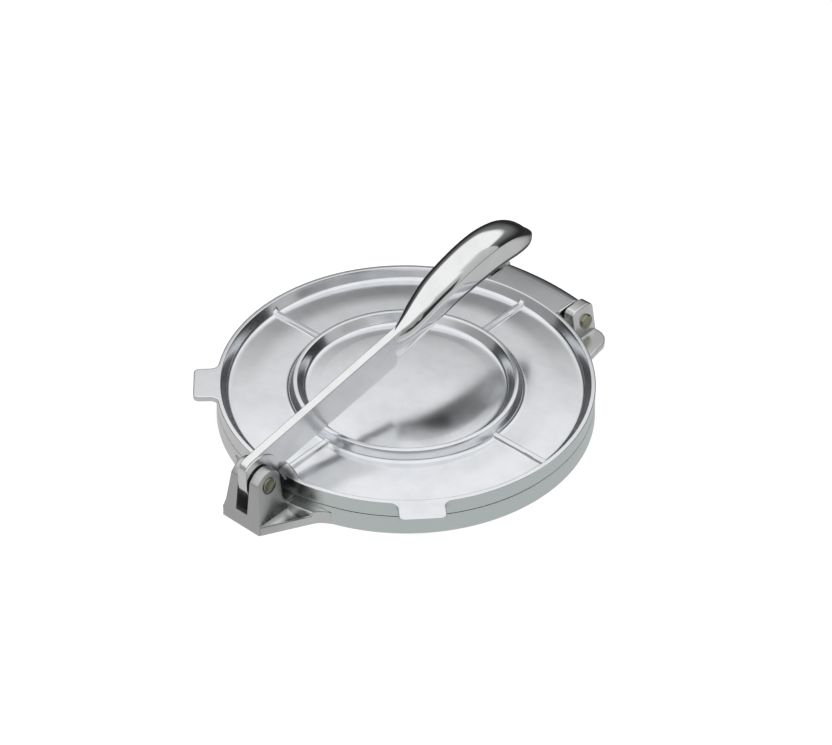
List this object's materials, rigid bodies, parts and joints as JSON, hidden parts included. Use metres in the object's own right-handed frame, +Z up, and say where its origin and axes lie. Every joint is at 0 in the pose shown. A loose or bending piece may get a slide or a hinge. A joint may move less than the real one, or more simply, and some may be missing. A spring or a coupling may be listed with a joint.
{
  "type": "tortilla press",
  "caption": "Cast aluminium tortilla press: two round hinged plates squeezed together by a long curved lever pinned in a bracket opposite the hinge.",
  "frame": {"origin": "centre of the object's footprint box, on the table that it stands on", "axes": "+Z up, +Y from the lever's bracket towards the plate hinge, along the lever; +X along both pins, to the right of somebody who stands at the bracket and looks at the hinge"},
  "size_m": [0.2008, 0.2442, 0.0811],
  "materials": {
    "cast_aluminium": "polished",
    "lever_aluminium": "polished",
    "pin_steel": "satin"
  },
  "bodies": {
    "base": {"base_plate": "cast_aluminium", "lever_pin": "pin_steel", "hinge_pin": "pin_steel"},
    "top": {"top_plate": "cast_aluminium"},
    "lever": {"lever": "lever_aluminium"}
  },
  "joints": [
    {"name": "lever_pivot", "type": "hinge", "parent": "base", "child": "lever", "pos_m": [0, -0.11035, 0.0245], "axis": [1, 0, 0], "range_deg": [0, 165]},
    {"name": "plate_hinge", "type": "hinge", "parent": "base", "child": "top", "pos_m": [0, 0.11335, 0.0115], "axis": [-1, 0, 0], "range_deg": [0, 110]}
  ],
  "couplings": [
    {"joint": "plate_hinge", "follows": "lever_pivot", "ratio": 0.05}
  ]
}
